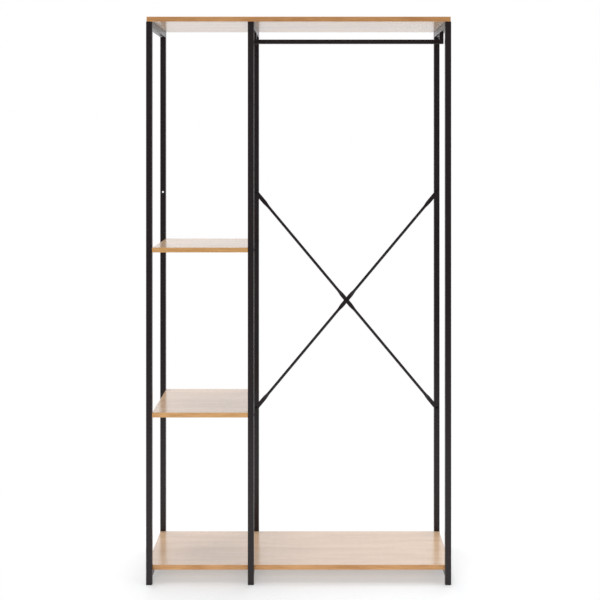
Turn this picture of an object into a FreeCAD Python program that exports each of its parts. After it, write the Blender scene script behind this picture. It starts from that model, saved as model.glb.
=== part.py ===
"""Coat stand with shelves: three welded ladder frames of square steel tube, tied together by a top
board, a bottom board, two shelves in the narrow left bay, a hanging rail in the wide right bay and
a pair of crossed braces pressed flat where they are bolted.

Millimetres, +Z up. The origin is on the floor under the middle of the stand, +X runs to the right
and the front faces -Y. Every size is a cell of the sheet, and every place is worked out from them.
"""
import FreeCAD, Part
import math
import os

import Sketcher

# Driving dimensions: name, millimetres, what it measures
SIZES = [
    ("overall_width", 1002, "outer face of the left frame to outer face of the right frame"),
    ("overall_depth", 400, "front face of the front posts to rear face of the rear posts"),
    ("frame_height", 1850, "floor to the tops of the posts"),
    ("tube_size", 20, "side of the square frame tube"),
    ("tube_wall", 1.2, "wall of the frame tube"),
    ("tube_corner", 2, "outer corner radius of the frame tube"),
    ("middle_frame_offset", 334, "left face of the left frame to left face of the middle frame"),
    ("lower_tube_height", 24, "floor to the underside of the lower cross tubes"),
    ("foot_base", 4, "thickness of a foot cap under its post"),
    ("foot_chamfer", 1, "chamfer round the bottom of a foot cap"),
    ("foot_plug_height", 14, "how far a foot cap reaches into its post"),
    ("foot_plug_wall", 2.2, "wall of the hollow plug of a foot cap"),
    ("foot_clearance", 0.2, "gap between the plug of a foot cap and the inside of the tube"),
    ("board_thickness", 16, "thickness of every board"),
    ("board_inset", 2, "how far the top and bottom boards end inside the outer frames"),
    ("bottom_board_gap", 0.5, "gap between the bottom board and the posts"),
    ("shelf_setback", 2, "front edge of a shelf behind the front faces of the posts"),
    ("upper_shelf_top", 1108, "floor to the top of the upper shelf"),
    ("lower_shelf_top", 566, "floor to the top of the lower shelf"),
    ("band_thickness", 1, "thickness of the edge band glued round a board"),
    ("band_round", 0.6, "rounding of the outer edges of the band"),
    ("rail_size", 15, "side of the square tube of the hanging rail"),
    ("rail_wall", 1.2, "wall of the rail tube"),
    ("rail_corner", 1.5, "outer corner radius of the rail tube"),
    ("rail_drop", 38, "underside of the upper cross tubes to the underside of the rail"),
    ("rail_plug_length", 10, "length of the threaded plug in the top of a riser"),
    ("rail_plug_clearance", 0.1, "gap between a threaded plug and the inside of its riser"),
    ("brace_high", 1276, "floor to the upper brace holes"),
    ("brace_low", 501, "floor to the lower brace holes"),
    ("brace_tube", 10, "outer diameter of the round brace tube"),
    ("brace_round", 9.9, "thickness of the brace where it is round, a hair under its diameter"),
    ("brace_wall", 1, "wall of the brace tube, so a flat is two walls thick"),
    ("brace_tip", 8, "centre of an end hole to the tip of the brace"),
    ("end_flat", 46, "length of the flat past an end hole"),
    ("centre_flat", 22, "half length of the flat at the crossing"),
    ("press_length", 26, "length over which the tube goes from flat to round"),
    ("bolt_shank", 6, "diameter of the bolts"),
    ("bolt_hole", 6.5, "clearance hole for the bolts"),
    ("bolt_head", 10.5, "diameter of a bolt head"),
    ("bolt_head_height", 3.3, "height of a bolt head"),
    ("bolt_head_round", 2.2, "rounding of the low dome of a bolt head"),
    ("bolt_taper", 1, "taper at the tip of a bolt"),
    ("socket_size", 4, "hexagon socket of a bolt head across its flats"),
    ("socket_depth", 2, "depth of the hexagon socket"),
    ("access_hole", 12, "hole in the far wall that lets a bolt head into the tube"),
    ("thread_clearance", 0.1, "gap left between a thread and what it turns in"),
    ("shelf_bolt_length", 20, "length of a shelf bolt under its head"),
    ("rail_bolt_length", 12, "length of a rail bolt under its head"),
    ("brace_bolt_length", 12, "length of a brace bolt under its head"),
    ("nut_size", 10, "hexagon nut across its flats"),
    ("nut_height", 5, "height of a hexagon nut"),
    ("insert_diameter", 9, "outer diameter of a threaded insert in a shelf end"),
    ("insert_length", 13, "length of a threaded insert"),
    ("screw_shank", 4, "diameter of a board screw"),
    ("screw_hole", 4.5, "clearance hole for the board screws"),
    ("screw_head", 8, "diameter of the pan head of a board screw"),
    ("screw_head_height", 2.4, "height of the pan head of a board screw"),
    ("screw_head_bevel", 1.2, "bevel of the pan head of a board screw"),
    ("screw_length", 30, "length of a board screw under its head"),
    ("screw_point", 5, "length of the point of a board screw"),
    ("hole_relief", 1, "how much deeper a blind hole is than what sits in it"),
    ("screw_span", 260, "distance front to back between the two board screws of a cross tube"),
]

doc = FreeCAD.newDocument("coat_stand")
sheet = doc.addObject("Spreadsheet::Sheet", "sizes")
for row, (name, millimetres, meaning) in enumerate(SIZES, start=1):
    sheet.set("A%d" % row, name)
    sheet.set("B%d" % row, str(millimetres))
    sheet.set("C%d" % row, meaning)
    sheet.setAlias("B%d" % row, name)
doc.recompute()

# Places that several pieces share, as expressions on the sheet
LEFT_X = "((sizes.tube_size - sizes.overall_width) / 2)"
MIDDLE_X = "((sizes.tube_size - sizes.overall_width) / 2 + sizes.middle_frame_offset)"
RIGHT_X = "((sizes.overall_width - sizes.tube_size) / 2)"
FRONT_Y = "((sizes.tube_size - sizes.overall_depth) / 2)"
REAR_Y = "((sizes.overall_depth - sizes.tube_size) / 2)"
FRAME_X = {"left": LEFT_X, "middle": MIDDLE_X, "right": RIGHT_X}
ROW_Y = {"front": FRONT_Y, "rear": REAR_Y}
UPPER_TUBE_UNDER = "(sizes.frame_height - sizes.tube_size)"
LOWER_TUBE_TOP = "(sizes.lower_tube_height + sizes.tube_size)"
TUBE_BORE = "(sizes.tube_size - 2 * sizes.tube_wall)"
TUBE_BORE_CORNER = "(sizes.tube_corner - sizes.tube_wall)"
RAIL_BORE = "(sizes.rail_size - 2 * sizes.rail_wall)"
RAIL_BORE_CORNER = "(sizes.rail_corner - sizes.rail_wall)"
BAY_LENGTH = "(sizes.middle_frame_offset - sizes.tube_size)"
BAY_MIDDLE_X = "((%s + %s) / 2)" % (LEFT_X, MIDDLE_X)
SCREW_Y = "(sizes.screw_span / 2)"
LEFT_RISER_X = "(%s + (sizes.tube_size - sizes.rail_size) / 2)" % MIDDLE_X
RIGHT_RISER_X = "(%s - (sizes.tube_size - sizes.rail_size) / 2)" % RIGHT_X
RAIL_UNDER = "(%s - sizes.rail_drop)" % UPPER_TUBE_UNDER
SHELF_TOP = {"upper": "sizes.upper_shelf_top", "lower": "sizes.lower_shelf_top"}
SHELF_Y = "(sizes.shelf_setback / 2)"
BOLT_THREAD = "(sizes.bolt_shank + 2 * sizes.thread_clearance)"
BRACE_FLAT = "(2 * sizes.brace_wall)"
BRACE_Y = "(sizes.overall_depth / 2 - sizes.tube_size - sizes.brace_wall)"
BRACE_RUN = "(%s - %s)" % (RIGHT_X, MIDDLE_X)
BRACE_RISE = "(sizes.brace_high - sizes.brace_low)"
BRACE_SPAN = "sqrt(%s ^ 2 + %s ^ 2)" % (BRACE_RUN, BRACE_RISE)
BRACE_ANGLE = "atan2(%s; %s)" % (BRACE_RISE, BRACE_RUN)

# Stations at which the section of a brace is given while it goes from flat to round
PRESS_STEPS = 4

# Two places nearer than this are the same
SAME = 1e-6

# Turns that point a fastener, which is made pointing along +Z
TURNS = {
    "+x": (FreeCAD.Vector(0, 1, 0), 90),
    "-x": (FreeCAD.Vector(0, 1, 0), -90),
    "+y": (FreeCAD.Vector(1, 0, 0), -90),
    "-y": (FreeCAD.Vector(1, 0, 0), 90),
    "+z": (FreeCAD.Vector(0, 0, 1), 0),
    "-z": (FreeCAD.Vector(1, 0, 0), 180),
}

nodes = []


def value(expression):
    """Number that an expression on the sheet gives now."""
    return float(sheet.evalExpression(expression))


def place(thing, x="0", y="0", z="0"):
    """Bind the position of a body or link to the sheet."""
    for axis, expression in (("x", x), ("y", y), ("z", z)):
        thing.setExpression("Placement.Base." + axis, expression)


def new_body(label, x="0", y="0", z="0", is_node=True):
    """Empty body whose position is bound to the sheet; a node is written to a file of its own."""
    body = doc.addObject("PartDesign::Body", label)
    body.Label = label
    body.AllowCompound = False
    place(body, x, y, z)
    if is_node:
        nodes.append(body)
    return body


def new_sketch(body, name, role, offset="0"):
    """Sketch on an origin plane of its body, moved along the plane's normal by an expression."""
    plane = [feature for feature in body.Origin.OriginFeatures if feature.Role == role][0]
    sketch = body.newObject("Sketcher::SketchObject", name)
    sketch.AttachmentSupport = [(plane, "")]
    sketch.MapMode = "FlatFace"
    sketch.setExpression("AttachmentOffset.Base.z", offset)
    return sketch


def fix(sketch, kind, where, expression):
    """Dimension in a sketch, bound to the sheet."""
    index = sketch.addConstraint(Sketcher.Constraint(kind, *where, value(expression)))
    sketch.setExpression("Constraints[%d]" % index, expression)


def draw_outline(sketch, corners):
    """Closed outline of straight lines through corners given as pairs of expressions."""
    points = [FreeCAD.Vector(value(x), value(y), 0) for x, y in corners]
    first = None
    for index, (x, y) in enumerate(corners):
        end = points[(index + 1) % len(points)]
        line = sketch.addGeometry(Part.LineSegment(points[index], end), False)
        first = line if first is None else first
        fix(sketch, "DistanceX", (line, 1), x)
        fix(sketch, "DistanceY", (line, 1), y)
    for index in range(len(corners)):
        after = first + (index + 1) % len(corners)
        sketch.addConstraint(Sketcher.Constraint("Coincident", first + index, 2, after, 1))


def draw_rectangle(sketch, width, height):
    """Rectangle centred on the sketch's origin."""
    x = "(%s) / 2" % width
    y = "(%s) / 2" % height
    draw_outline(sketch, [("-" + x, "-" + y), (x, "-" + y), (x, y), ("-" + x, y)])


def draw_rounded_square(sketch, side, corner):
    """Square with rounded corners, centred on the sketch's origin."""
    half = value(side) / 2
    radius = value(corner)
    flat = half - radius
    # Each side is turned a quarter from the one before, and ends where its corner arc begins
    lines = []
    arcs = []
    for quarter in range(4):
        turn = FreeCAD.Rotation(FreeCAD.Vector(0, 0, 1), 90 * quarter)
        start = turn.multVec(FreeCAD.Vector(-flat, -half, 0))
        end = turn.multVec(FreeCAD.Vector(flat, -half, 0))
        centre = turn.multVec(FreeCAD.Vector(flat, -flat, 0))
        circle = Part.Circle(centre, FreeCAD.Vector(0, 0, 1), radius)
        sweep_start = math.radians(90 * quarter - 90)
        lines.append(sketch.addGeometry(Part.LineSegment(start, end), False))
        arc = Part.ArcOfCircle(circle, sweep_start, sweep_start + math.pi / 2)
        arcs.append(sketch.addGeometry(arc, False))
    for index in range(4):
        line = lines[index]
        after = lines[(index + 1) % 4]
        sketch.addConstraint(Sketcher.Constraint("Tangent", line, 2, arcs[index], 1))
        sketch.addConstraint(Sketcher.Constraint("Tangent", arcs[index], 2, after, 1))
        sketch.addConstraint(Sketcher.Constraint("Vertical" if index % 2 else "Horizontal", line))
        if index:
            sketch.addConstraint(Sketcher.Constraint("Equal", arcs[0], arcs[index]))
    fix(sketch, "Radius", (arcs[0],), corner)
    fix(sketch, "DistanceX", (lines[1], 1), "(%s) / 2" % side)
    fix(sketch, "DistanceX", (lines[3], 1), "-(%s) / 2" % side)
    fix(sketch, "DistanceY", (lines[0], 1), "-(%s) / 2" % side)
    fix(sketch, "DistanceY", (lines[2], 1), "(%s) / 2" % side)


def draw_circle(sketch, x, y, diameter):
    """Circle at a place given by expressions."""
    centre = FreeCAD.Vector(value(x), value(y), 0)
    circle = Part.Circle(centre, FreeCAD.Vector(0, 0, 1), value(diameter) / 2)
    index = sketch.addGeometry(circle, False)
    fix(sketch, "Diameter", (index,), diameter)
    fix(sketch, "DistanceX", (index, 3), x)
    fix(sketch, "DistanceY", (index, 3), y)


def draw_hexagon(sketch, across_flats):
    """Regular hexagon centred on the sketch's origin, with two sides along its x axis."""
    corner = "(%s) / sqrt(3)" % across_flats
    half = "(%s) / 2" % across_flats
    upper = [(corner, "0"), (corner + " / 2", half), ("-" + corner + " / 2", half)]
    lower = [("-" + corner, "0"), ("-" + corner + " / 2", "-" + half), (corner + " / 2", "-" + half)]
    draw_outline(sketch, upper + lower)


def pad(body, name, sketch, length, midplane=False):
    """Extrude a sketch along its normal, or to both sides of it."""
    feature = body.newObject("PartDesign::Pad", name)
    feature.Profile = sketch
    feature.Midplane = midplane
    feature.setExpression("Length", length)
    sketch.Visibility = False
    doc.recompute()
    return feature


def pocket(body, name, sketch, length, midplane=False, along_normal=False):
    """Cut a sketch out of the body, against its normal unless told otherwise."""
    before = body.Shape.Volume
    feature = body.newObject("PartDesign::Pocket", name)
    feature.Profile = sketch
    feature.Midplane = midplane
    feature.Reversed = along_normal
    feature.setExpression("Length", length)
    sketch.Visibility = False
    doc.recompute()
    if not body.Shape.Volume < before:
        raise RuntimeError("%s of %s cuts nothing" % (name, body.Label))
    return feature


def edges_where(feature, test):
    """Names of the edges of a feature whose bounding box passes a test."""
    edges = feature.Shape.Edges
    return ["Edge%d" % (i + 1) for i, edge in enumerate(edges) if test(edge.BoundBox)]


def dress(body, kind, name, feature, edge_names, size):
    """Fillet or chamfer on named edges of a feature."""
    result = body.newObject("PartDesign::" + kind, name)
    result.Base = (feature, edge_names)
    result.setExpression("Radius" if kind == "Fillet" else "Size", size)
    doc.recompute()
    return result


def group(label, master, seats):
    """Node of like fasteners: links to one master, each at a seat and pointing a way."""
    links = []
    for number, (way, x, y, z) in enumerate(seats, start=1):
        link = doc.addObject("App::Link", "%s_%d" % (label, number))
        link.LinkedObject = master
        link.LinkTransform = False
        link.Placement = FreeCAD.Placement(FreeCAD.Vector(), FreeCAD.Rotation(*TURNS[way]))
        place(link, x, y, z)
        links.append(link)
    compound = doc.addObject("Part::Compound", label)
    compound.Label = label
    compound.Links = links
    nodes.append(compound)


# Welded side frames
def add_post(side, row):
    """Full-height post with holes for the shelf bolts and, at the rear, for the braces."""
    body = new_body("%s_%s_post" % (side, row), FRAME_X[side], ROW_Y[row])
    section = new_sketch(body, "section", "XY_Plane", "sizes.foot_base")
    draw_rounded_square(section, "sizes.tube_size", "sizes.tube_corner")
    draw_rounded_square(section, TUBE_BORE, TUBE_BORE_CORNER)
    pad(body, "tube", section, "sizes.frame_height - sizes.foot_base")
    if side != "right":
        for kind, diameter in (("bolt", "sizes.bolt_hole"), ("access", "sizes.access_hole")):
            holes = new_sketch(body, "shelf_%s_circles" % kind, "YZ_Plane")
            for level in ("upper", "lower"):
                draw_circle(holes, "0", SHELF_TOP[level] + " - sizes.board_thickness / 2", diameter)
            towards_shelf = kind == "bolt"
            to_the_right = towards_shelf == (side == "left")
            name = "shelf_%s_holes" % kind
            pocket(body, name, holes, "sizes.tube_size", along_normal=to_the_right)
    if row == "rear":
        for kind, diameter in (("bolt", "sizes.bolt_hole"), ("access", "sizes.access_hole")):
            holes = new_sketch(body, "brace_%s_circles" % kind, "XZ_Plane")
            draw_circle(holes, "0", "sizes.brace_high", diameter)
            draw_circle(holes, "0", "sizes.brace_low", diameter)
            name = "brace_%s_holes" % kind
            pocket(body, name, holes, "sizes.tube_size", along_normal=kind == "bolt")


def add_cross_tube(side, level):
    """Rung between the front and rear posts, drilled for the board screws and the rail bolt."""
    under = UPPER_TUBE_UNDER if level == "upper" else "sizes.lower_tube_height"
    centre_z = under + " + sizes.tube_size / 2"
    body = new_body("%s_%s_tube" % (side, level), FRAME_X[side], "0", centre_z)
    section = new_sketch(body, "section", "XZ_Plane")
    draw_rounded_square(section, "sizes.tube_size", "sizes.tube_corner")
    draw_rounded_square(section, TUBE_BORE, TUBE_BORE_CORNER)
    pad(body, "tube", section, "sizes.overall_depth - 2 * sizes.tube_size", midplane=True)
    screws = new_sketch(body, "screw_circles", "XY_Plane")
    draw_circle(screws, "0", SCREW_Y, "sizes.screw_hole")
    draw_circle(screws, "0", "-" + SCREW_Y, "sizes.screw_hole")
    pocket(body, "screw_holes", screws, "2 * sizes.tube_size", midplane=True)
    riser_x = {"middle": LEFT_RISER_X, "right": RIGHT_RISER_X}
    if level == "upper" and side in riser_x:
        shift = "%s - %s" % (riser_x[side], FRAME_X[side])
        bolt = new_sketch(body, "rail_bolt_circle", "XY_Plane")
        draw_circle(bolt, shift, "0", "sizes.bolt_hole")
        pocket(body, "rail_bolt_hole", bolt, "sizes.tube_size")
        access = new_sketch(body, "rail_access_circle", "XY_Plane")
        draw_circle(access, shift, "0", "sizes.access_hole")
        pocket(body, "rail_access_hole", access, "sizes.tube_size", along_normal=True)


def add_foot(side, row):
    """Moulded cap under a post: a chamfered base and a hollow plug that fits the tube."""
    body = new_body("%s_%s_foot" % (side, row), FRAME_X[side], ROW_Y[row])
    base = new_sketch(body, "base_outline", "XY_Plane")
    draw_rounded_square(base, "sizes.tube_size", "sizes.tube_corner")
    block = pad(body, "base", base, "sizes.foot_base")
    bottom = edges_where(block, lambda box: box.ZMax < SAME)
    dress(body, "Chamfer", "bottom_chamfer", block, bottom, "sizes.foot_chamfer")
    plug = new_sketch(body, "plug_outline", "XY_Plane", "sizes.foot_base")
    draw_rounded_square(plug, TUBE_BORE + " - 2 * sizes.foot_clearance", TUBE_BORE_CORNER)
    pad(body, "plug", plug, "sizes.foot_plug_height")
    hollow = new_sketch(body, "hollow_outline", "XY_Plane", "sizes.foot_base + sizes.foot_plug_height")
    hollow_side = TUBE_BORE + " - 2 * (sizes.foot_clearance + sizes.foot_plug_wall)"
    draw_rectangle(hollow, hollow_side, hollow_side)
    pocket(body, "hollow", hollow, "sizes.foot_plug_height")


# Boards with their edge bands
def add_frame_board(name, depth, z):
    """Board that lies on the cross tubes of all three frames, with an edge band all round."""
    length = "(sizes.overall_width - 2 * sizes.board_inset)"
    core_length = length + " - 2 * sizes.band_thickness"
    core_depth = depth + " - 2 * sizes.band_thickness"
    core = new_body(name, z=z)
    outline = new_sketch(core, "outline", "XY_Plane")
    draw_rectangle(outline, core_length, core_depth)
    pad(core, "panel", outline, "sizes.board_thickness")
    pilots = new_sketch(core, "pilot_circles", "XY_Plane")
    pilot = "sizes.screw_shank + 2 * sizes.thread_clearance"
    for x in FRAME_X.values():
        draw_circle(pilots, x, SCREW_Y, pilot)
        draw_circle(pilots, x, "-" + SCREW_Y, pilot)
    reach = "sizes.screw_length - sizes.tube_size + sizes.hole_relief"
    pocket(core, "pilot_holes", pilots, reach, along_normal=True)
    band = new_body(name + "_band", z=z)
    ring = new_sketch(band, "ring", "XY_Plane")
    draw_rectangle(ring, length, depth)
    draw_rectangle(ring, core_length, core_depth)
    strip = pad(band, "strip", ring, "sizes.board_thickness")
    round_long_edges(band, strip, value(depth) / 2)


def round_long_edges(band, strip, half_depth):
    """Round the four long outer edges of a band, which hands and cloth brush against."""
    def is_long_outer(box):
        return box.XLength > half_depth and abs(abs(box.Center.y) - half_depth) < SAME

    names = edges_where(strip, is_long_outer)
    dress(band, "Fillet", "long_edges", strip, names, "sizes.band_round")


def add_shelf(level):
    """Shelf of the left bay, bored at its ends for threaded inserts, banded front and rear."""
    depth = "(sizes.overall_depth - sizes.shelf_setback)"
    z = SHELF_TOP[level] + " - sizes.board_thickness"
    core = new_body(level + "_shelf", BAY_MIDDLE_X, SHELF_Y, z)
    outline = new_sketch(core, "outline", "XY_Plane")
    draw_rectangle(outline, BAY_LENGTH, depth + " - 2 * sizes.band_thickness")
    pad(core, "panel", outline, "sizes.board_thickness")
    bores = []
    reach = {"insert": "sizes.insert_length", "bolt": "sizes.shelf_bolt_length + sizes.hole_relief"}
    width = {"insert": "sizes.insert_diameter", "bolt": "sizes.bolt_hole"}
    for kind in ("insert", "bolt"):
        circles = new_sketch(core, kind + "_circles", "YZ_Plane", "-%s / 2" % BAY_LENGTH)
        for y in ROW_Y.values():
            draw_circle(circles, "%s - %s" % (y, SHELF_Y), "sizes.board_thickness / 2", width[kind])
        bores.append(pocket(core, kind + "_bores", circles, reach[kind], along_normal=True))
    mirror = core.newObject("PartDesign::Mirrored", "bores_of_the_other_end")
    mirror.Originals = bores
    plane = [feature for feature in core.Origin.OriginFeatures if feature.Role == "YZ_Plane"][0]
    mirror.MirrorPlane = (plane, [""])
    core.Tip = mirror
    band = new_body(level + "_shelf_band", BAY_MIDDLE_X, SHELF_Y, z)
    band.AllowCompound = True
    strips = new_sketch(band, "strips", "XY_Plane")
    x = BAY_LENGTH + " / 2"
    for sign in ("-", ""):
        outer = "%s%s / 2" % (sign, depth)
        inner = "%s(%s / 2 - sizes.band_thickness)" % (sign, depth)
        draw_outline(strips, [("-" + x, outer), (x, outer), (x, inner), ("-" + x, inner)])
    strip = pad(band, "strip", strips, "sizes.board_thickness")
    round_long_edges(band, strip, value(depth) / 2)


# Hanging rail: a bar and two risers, mitred and welded, bolted up under two cross tubes
def add_rail_bar():
    """Bar of the hanging rail, its tube mitred at both ends to meet the risers."""
    centre_x = "(%s + %s) / 2" % (LEFT_RISER_X, RIGHT_RISER_X)
    body = new_body("rail_bar", centre_x, "0", RAIL_UNDER + " + sizes.rail_size / 2")
    length = "(%s - %s + sizes.rail_size)" % (RIGHT_RISER_X, LEFT_RISER_X)
    section = new_sketch(body, "section", "YZ_Plane")
    draw_rounded_square(section, "sizes.rail_size", "sizes.rail_corner")
    draw_rounded_square(section, RAIL_BORE, RAIL_BORE_CORNER)
    pad(body, "tube", section, length, midplane=True)
    mitres = new_sketch(body, "mitre_outlines", "XZ_Plane")
    half = "sizes.rail_size / 2"
    for sign in ("-", ""):
        outer = "%s(%s / 2)" % (sign, length)
        inner = "%s(%s / 2 - sizes.rail_size)" % (sign, length)
        past = "%s(%s / 2 + sizes.rail_size)" % (sign, length)
        above = "(%s + sizes.rail_size)" % half
        corners = [(outer, "-" + half), (inner, half), (inner, above), (past, above)]
        draw_outline(mitres, corners + [(past, "-" + half)])
    pocket(body, "mitres", mitres, "2 * sizes.rail_size", midplane=True)


def add_riser(side, x, outward):
    """Upright of the rail, mitred at its foot; its open top takes a threaded plug."""
    body = new_body(side + "_rail_riser", x, "0", RAIL_UNDER)
    section = new_sketch(body, "section", "XY_Plane")
    draw_rounded_square(section, "sizes.rail_size", "sizes.rail_corner")
    draw_rounded_square(section, RAIL_BORE, RAIL_BORE_CORNER)
    pad(body, "tube", section, "sizes.rail_drop")
    inward = "" if outward == "-" else "-"
    mitre = new_sketch(body, "mitre_outline", "XZ_Plane")
    outer = outward + "sizes.rail_size / 2"
    inner = inward + "sizes.rail_size / 2"
    past = inward + "3 * sizes.rail_size / 2"
    corners = [(outer, "0"), (inner, "sizes.rail_size"), (past, "sizes.rail_size")]
    draw_outline(mitre, corners + [(past, "-sizes.rail_size"), (outer, "-sizes.rail_size")])
    pocket(body, "mitre", mitre, "2 * sizes.rail_size", midplane=True)


# Crossed braces
def draw_stadium(sketch, thickness, shift):
    """Section of the pressed tube: a stadium as thick as given, as wide as the girth of the round
    tube allows, and moved across its thickness by shift. Two half circles and two straight lines.
    """
    straight = "(pi * (sizes.brace_tube - %s) / 2)" % thickness
    radius = value(thickness) / 2
    half = value(straight) / 2
    middle = value(shift)
    axis = FreeCAD.Vector(0, 0, 1)
    upper = Part.Circle(FreeCAD.Vector(middle, half, 0), axis, radius)
    lower = Part.Circle(FreeCAD.Vector(middle, -half, 0), axis, radius)
    top = sketch.addGeometry(Part.ArcOfCircle(upper, 0, math.pi), False)
    left = sketch.addGeometry(Part.LineSegment(
        FreeCAD.Vector(middle - radius, half, 0), FreeCAD.Vector(middle - radius, -half, 0)), False)
    bottom = sketch.addGeometry(Part.ArcOfCircle(lower, math.pi, 2 * math.pi), False)
    right = sketch.addGeometry(Part.LineSegment(
        FreeCAD.Vector(middle + radius, -half, 0), FreeCAD.Vector(middle + radius, half, 0)), False)
    for here, after in ((top, left), (left, bottom), (bottom, right), (right, top)):
        sketch.addConstraint(Sketcher.Constraint("Tangent", here, 2, after, 1))
    fix(sketch, "DistanceX", (top, 3), shift)
    fix(sketch, "DistanceY", (top, 3), straight + " / 2")
    fix(sketch, "DistanceX", (bottom, 3), shift)
    fix(sketch, "DistanceY", (bottom, 3), "-%s / 2" % straight)
    fix(sketch, "Radius", (top,), thickness + " / 2")


def press_ease(step):
    """Share of the way from flat to round at a station, along half a cosine wave."""
    return (1 - math.cos(math.pi * step / PRESS_STEPS)) / 2


def pressed_thickness(step):
    """Thickness of the pressed tube at a station, as an expression."""
    full = "(sizes.brace_round - %s)" % BRACE_FLAT
    return "(%s + %.6f * %s)" % (BRACE_FLAT, press_ease(step), full)


def add_brace(name, x, start_z, turn, side_of_crossing):
    """Round tube pressed flat at both ends and at the crossing, where its flat lies to one side.

    The tube runs along the body's X axis from one end hole to the other, and a loft carries the
    section from station to station. A section keeps its two straight lines even where the tube is
    round, so that all of them match.
    """
    body = new_body(name, x, BRACE_Y, start_z)
    body.Placement.Rotation = FreeCAD.Rotation(FreeCAD.Vector(0, -1, 0), 0)
    body.setExpression("Placement.Rotation.Angle", turn)
    flat_shift = "%ssizes.brace_wall" % side_of_crossing
    stations = [("-sizes.brace_tip", BRACE_FLAT, "0"), ("sizes.end_flat", BRACE_FLAT, "0")]
    for step in range(1, PRESS_STEPS + 1):
        along = "(sizes.end_flat + sizes.press_length * %.6f)" % (step / PRESS_STEPS)
        stations.append((along, pressed_thickness(step), "0"))
    for step in range(PRESS_STEPS, -1, -1):
        back = "(sizes.centre_flat + sizes.press_length * %.6f)" % (step / PRESS_STEPS)
        along = "(%s / 2 - %s)" % (BRACE_SPAN, back)
        shift = "(%s * %.6f)" % (flat_shift, 1 - press_ease(step))
        stations.append((along, pressed_thickness(step), shift))
    far_half = [("(%s - %s)" % (BRACE_SPAN, along), thickness, shift)
                for along, thickness, shift in reversed(stations)]
    sections = []
    for number, (along, thickness, shift) in enumerate(stations + far_half):
        sketch = new_sketch(body, "section_%02d" % number, "YZ_Plane", along)
        draw_stadium(sketch, thickness, shift)
        sections.append(sketch)
    loft = body.newObject("PartDesign::AdditiveLoft", "pressed_tube")
    loft.Profile = sections[0]
    loft.Sections = sections[1:]
    loft.Ruled = True
    doc.recompute()
    add_round_tips(body)
    holes = new_sketch(body, "bolt_circles", "XZ_Plane")
    for along in ("0", BRACE_SPAN + " / 2", BRACE_SPAN):
        draw_circle(holes, along, "0", "sizes.bolt_hole")
    pocket(body, "bolt_holes", holes, "4 * sizes.brace_tube", midplane=True)
    bore_start = "(sizes.end_flat + sizes.press_length)"
    centre_half = "(sizes.centre_flat + sizes.press_length)"
    bore_length = "(%s / 2 - %s - %s)" % (BRACE_SPAN, centre_half, bore_start)
    far_start = "(%s / 2 + %s)" % (BRACE_SPAN, centre_half)
    for half_name, start in (("near", bore_start), ("far", far_start)):
        bore = new_sketch(body, half_name + "_bore_circle", "YZ_Plane", start)
        draw_circle(bore, "0", "0", "sizes.brace_tube - 2 * sizes.brace_wall")
        pocket(body, half_name + "_bore", bore, bore_length, along_normal=True)


def add_round_tips(body):
    """Cut both flat ends of a brace round about their holes.

    The cutter is a frame round the end, open in a half circle of the tip's radius about the hole.
    """
    radius = value("sizes.brace_tip")
    for end_name, hole, sign in (("near", "0", -1), ("far", BRACE_SPAN, 1)):
        sketch = new_sketch(body, end_name + "_tip_outline", "XZ_Plane")
        centre = FreeCAD.Vector(value(hole), 0, 0)
        # The half circle turns from the bottom of a far tip, or the top of a near one, to the other
        start = -sign * math.pi / 2
        circle = Part.Circle(centre, FreeCAD.Vector(0, 0, 1), radius)
        arc = sketch.addGeometry(Part.ArcOfCircle(circle, start, start + math.pi), False)
        steps = [(0, 1), (0, 2), (2, 2), (2, -2), (0, -2), (0, -1)]
        corners = [centre + FreeCAD.Vector(x, y, 0) * (sign * radius) for x, y in steps]
        lines = [sketch.addGeometry(Part.LineSegment(here, after), False)
                 for here, after in zip(corners, corners[1:])]
        chain = [arc] + lines
        for here, after in zip(chain, chain[1:] + chain[:1]):
            sketch.addConstraint(Sketcher.Constraint("Coincident", here, 2, after, 1))
        fix(sketch, "DistanceX", (arc, 3), hole)
        fix(sketch, "DistanceY", (arc, 3), "0")
        fix(sketch, "Radius", (arc,), "sizes.brace_tip")
        for line, (x, y) in zip(lines, steps):
            fix(sketch, "DistanceX", (line, 1), "%s + %d * sizes.brace_tip" % (hole, sign * x))
            if line != lines[0]:
                fix(sketch, "DistanceY", (line, 1), "%d * sizes.brace_tip" % (sign * y))
        sketch.addConstraint(Sketcher.Constraint("Vertical", lines[-1]))
        pocket(body, end_name + "_round_tip", sketch, "4 * sizes.brace_tube", midplane=True)


# Fasteners, each made once and pointing along +Z from the face that its head or nut bears on
def turn_fastener(label, head, head_height, shank, length, tip_drop, tip_taper):
    """Revolved head and shank, the tip drawn in above, and the edges round the end of the head."""
    body = new_body(label, is_node=False)
    profile = new_sketch(body, "profile", "XZ_Plane")
    head_radius = head + " / 2"
    shank_radius = shank + " / 2"
    corners = [("0", "-" + head_height), (head_radius, "-" + head_height), (head_radius, "0")]
    corners += [(shank_radius, "0"), (shank_radius, "%s - %s" % (length, tip_drop))]
    if value(shank_radius) - value(tip_taper) > SAME:
        corners.append(("%s - %s" % (shank_radius, tip_taper), length))
    draw_outline(profile, corners + [("0", length)])
    turned = body.newObject("PartDesign::Revolution", "turned")
    turned.Profile = profile
    turned.ReferenceAxis = (profile, ["V_Axis"])
    turned.Angle = 360
    doc.recompute()
    rim = edges_where(turned, lambda box: box.ZMax < SAME - value(head_height) and box.YLength > SAME)
    return body, turned, rim


def make_bolt(label, length):
    """Socket bolt with a low domed head below the seat and its shank above it."""
    body, turned, rim = turn_fastener(label, "sizes.bolt_head", "sizes.bolt_head_height",
                                      "sizes.bolt_shank", length, "sizes.bolt_taper", "sizes.bolt_taper")
    dress(body, "Fillet", "head_dome", turned, rim, "sizes.bolt_head_round")
    socket = new_sketch(body, "socket_outline", "XY_Plane", "-sizes.bolt_head_height")
    draw_hexagon(socket, "sizes.socket_size")
    pocket(body, "socket", socket, "sizes.socket_depth", along_normal=True)
    return body


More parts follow.
